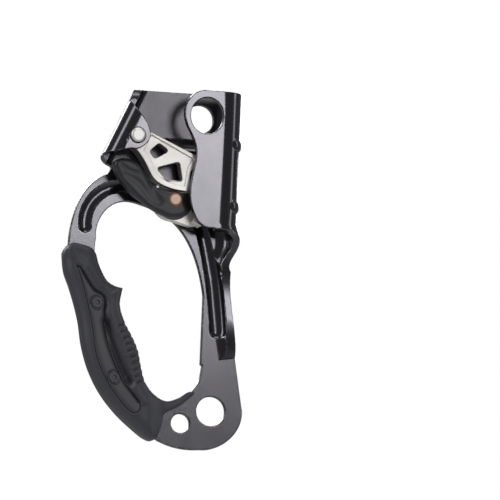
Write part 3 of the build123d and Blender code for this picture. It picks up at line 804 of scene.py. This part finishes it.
    def build(self) -> None:
        """Builds both halves and dresses the fasteners."""
        for name, side in (("front", -1), ("rear", 1)):
            shell = keep_mesh(self.shell(side), f"grip_{name}_rubber")
            self.place(shell, f"grip_{name}_shell", "root", Finishes.RUBBER)
            inlay = keep_mesh(self.inlay(side), f"grip_{name}_inlay")
            self.place(inlay, f"grip_{name}_panel", "root", Finishes.INLAY)
        for name in ("upper_grip_screw", "lower_grip_screw", "upper_grip_nut", "lower_grip_nut"):
            self.carry(name, Finishes.BLACK_STEEL)


# ---------------------------------------------------------------- studio
@dataclass
class Softbox:
    """A rectangular light, aimed at the object's middle."""

    name: str
    azimuth: float
    elevation: float
    distance: float
    size: tuple[float, float]
    watts: float
    tint: Colour = (1.0, 1.0, 1.0)

    def hang(self, middle: Vector) -> None:
        """Places the light: azimuth 0 is in front, 90 to the right."""
        turn_by, lift = radians(self.azimuth), radians(self.elevation)
        way = Vector((sin(turn_by) * cos(lift), -cos(turn_by) * cos(lift), sin(lift)))
        data = bpy.data.lights.new(self.name, "AREA")
        data.shape = "RECTANGLE"
        data.size, data.size_y = self.size
        data.energy = self.watts
        data.color = self.tint
        lamp = bpy.data.objects.new(self.name, data)
        lamp.location = middle + way * self.distance
        lamp.rotation_euler = way.to_track_quat("Z", "Y").to_euler()
        lamp.visible_camera = False
        bpy.context.scene.collection.objects.link(lamp)


@dataclass
class Studio:
    """Floor, lights and camera."""

    aim: tuple[float, float, float] = (17.9 * MM, 0.0, 86.8 * MM)
    azimuth: float = -12.0
    elevation: float = -6.0
    lean: float = 2.4
    field: float = 264 * MM
    distance: float = 6.0
    sensor: float = 36.0
    floor_z: float = -0.9
    floor_reach: float = 14.0
    world_light: float = 0.22

    def camera(self) -> None:
        """Sets the camera: it looks up a little from the left, and the object leans to the right."""
        side, lift, roll = radians(self.azimuth), radians(self.elevation), radians(self.lean)
        back = Vector((sin(side) * cos(lift), -cos(side) * cos(lift), sin(lift)))
        right = Vector((cos(side), sin(side), 0))
        up = back.cross(right)
        across = right * cos(roll) + up * sin(roll)
        upright = up * cos(roll) - right * sin(roll)
        data = bpy.data.cameras.new("camera")
        data.sensor_width = self.sensor
        data.lens = self.sensor * self.distance / self.field
        data.clip_start, data.clip_end = 0.05, 50.0
        eye = bpy.data.objects.new("camera", data)
        turn_to = Matrix((across, upright, back)).transposed().to_4x4()
        eye.matrix_world = Matrix.Translation(Vector(self.aim) + back * self.distance) @ turn_to
        bpy.context.scene.collection.objects.link(eye)
        bpy.context.scene.camera = eye

    def floor(self) -> None:
        """Lays a plain pale floor far below the hanging object."""
        mesh = bmesh.new()
        bmesh.ops.create_grid(mesh, x_segments=1, y_segments=1, size=self.floor_reach)
        bmesh.ops.translate(mesh, verts=mesh.verts[:], vec=(0, 0, self.floor_z))
        ground = keep_mesh(mesh, "studio_floor")
        graph = Graph("studio_floor")
        tone = graph.noise(0.6, 2.0)
        ground.data.materials.append(graph.surface({
            "Base Color": graph.blend(tone, (0.80, 0.80, 0.80), (0.84, 0.84, 0.84)), "Roughness": 0.8}))

    def world(self) -> None:
        """A pale surround that is white behind the object and dim in its reflections."""
        world = bpy.data.worlds.new("surround")
        world.use_nodes = True
        bpy.context.scene.world = world
        nodes, links = world.node_tree.nodes, world.node_tree.links
        nodes.clear()
        seen = nodes.new("ShaderNodeLightPath")
        white, dim = nodes.new("ShaderNodeBackground"), nodes.new("ShaderNodeBackground")
        white.inputs["Color"].default_value = (1, 1, 1, 1)
        white.inputs["Strength"].default_value = 1.0
        dim.inputs["Color"].default_value = (0.93, 0.96, 1.0, 1)
        dim.inputs["Strength"].default_value = self.world_light
        mix, end = nodes.new("ShaderNodeMixShader"), nodes.new("ShaderNodeOutputWorld")
        links.new(seen.outputs["Is Camera Ray"], mix.inputs[0])
        links.new(dim.outputs[0], mix.inputs[1])
        links.new(white.outputs[0], mix.inputs[2])
        links.new(mix.outputs[0], end.inputs["Surface"])

    def lights(self) -> None:
        """Hangs the softboxes."""
        middle = Vector(self.aim)
        for box in (
            Softbox("front_box", 12, 12.3, 2.2, (0.5, 0.55), 9.3),
            Softbox("left_box", -75, 20, 1.8, (0.5, 1.6), 15),
            Softbox("right_box", 80, 15, 1.8, (0.35, 1.6), 6),
            Softbox("top_box", 10, 75, 1.8, (1.2, 0.8), 14),
            Softbox("rear_box", 168, 20, 2.2, (1.4, 1.2), 25),
        ):
            box.hang(middle)

    def build(self) -> None:
        """Sets up the studio."""
        self.camera()
        self.floor()
        self.world()
        self.lights()
        bpy.context.scene.view_settings.view_transform = "Standard"


def main() -> None:
    """Builds the ascender and its studio."""
    logging.basicConfig(level=logging.INFO, format="%(name)s: %(message)s")
    wardrobe = Wardrobe()
    for group in (Plate(wardrobe), CamGroup(wardrobe), TriggerGroup(wardrobe), Grip(wardrobe)):
        group.build()
    Studio().build()


if __name__ == "__main__":
    main()
